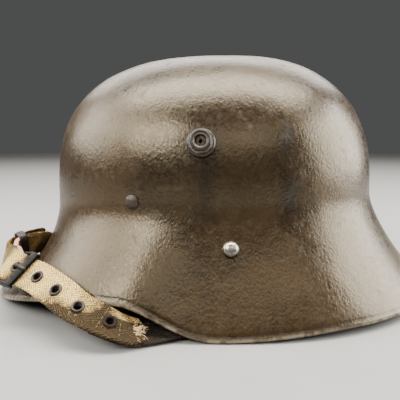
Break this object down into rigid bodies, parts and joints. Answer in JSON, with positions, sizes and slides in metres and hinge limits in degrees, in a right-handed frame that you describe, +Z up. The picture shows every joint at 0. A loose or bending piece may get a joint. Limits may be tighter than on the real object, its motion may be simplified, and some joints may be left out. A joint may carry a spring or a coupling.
{
  "type": "steel helmet",
  "caption": "Pressed steel helmet with a flared brim, side vent lugs, a padded leather liner on a steel band and a webbing chin strap buckled round the front of the brim",
  "frame": {"origin": "bottom centre of the bounding box: midway along and across the helmet, on the surface that the rim stands on", "axes": "-X is the way the brow points, +Z is up through the crown, +Y is the wearer's right"},
  "size_m": [0.322, 0.2678, 0.173],
  "materials": {
    "shell_paint": "old brown field paint with a fine pebbled skin, satin, worn along the rim",
    "lug_paint": "the same paint, worn to pale metal round the mouth",
    "rivet_paint": "dark paint over steel, rubbed at the edge of the head",
    "bare_steel": "bare handled steel, dull shine",
    "dark_steel": "dark paint over spring steel",
    "black_steel": "black paint, rubbed bright along the edges",
    "rivet_brass": "dull brass",
    "brown_leather": "smooth brown leather",
    "tan_leather": "worn pinkish tan leather",
    "dark_leather": "dark leather",
    "webbing": "cream herringbone webbing, soiled",
    "cushion_cloth": "coarse unbleached cloth",
    "lace_cord": "braided cord"
  },
  "bodies": {
    "helmet": {"shell": "shell_paint", "vent_lug_left": "lug_paint", "vent_lug_right": "lug_paint", "liner_rivet_left": "rivet_paint", "liner_rivet_right": "rivet_paint", "liner_rivet_rear": "rivet_paint", "liner_washers": "bare_steel", "strap_rivet_left": "bare_steel", "strap_rivet_right": "bare_steel", "strap_bracket_left": "dark_steel", "strap_bracket_right": "dark_steel", "liner_band": "dark_steel", "pad_front_left": "brown_leather", "pad_front_right": "brown_leather", "pad_rear": "brown_leather", "cushion_front_left": "cushion_cloth", "cushion_front_right": "cushion_cloth", "cushion_rear": "cushion_cloth", "pad_rivets": "rivet_brass", "crown_lace": "lace_cord", "strap_long": "webbing", "strap_short": "webbing", "strap_eyelets": "black_steel", "buckle_frame": "black_steel", "buckle_chape": "tan_leather", "strap_keeper": "dark_leather"},
    "bail_left": {"strap_bail_left": "dark_steel", "strap_loop_left": "webbing"},
    "bail_right": {"strap_bail_right": "dark_steel", "strap_loop_right": "webbing"},
    "prong": {"buckle_prong": "bare_steel"}
  },
  "joints": [
    {"name": "bail_left_hinge", "type": "hinge", "parent": "helmet", "child": "bail_left", "pos_m": [0.00919, -0.10221, 0.03785], "axis": [0.9999, 0.0111, 0], "range_deg": [0, 35]},
    {"name": "bail_right_hinge", "type": "hinge", "parent": "helmet", "child": "bail_right", "pos_m": [0.00919, 0.10221, 0.03785], "axis": [-0.9999, 0.0111, 0], "range_deg": [0, 35]},
    {"name": "prong_hinge", "type": "hinge", "parent": "helmet", "child": "prong", "pos_m": [-0.12908, -0.07698, 0.03093], "axis": [-0.535, -0.5925, -0.6023], "range_deg": [0, 5]}
  ]
}
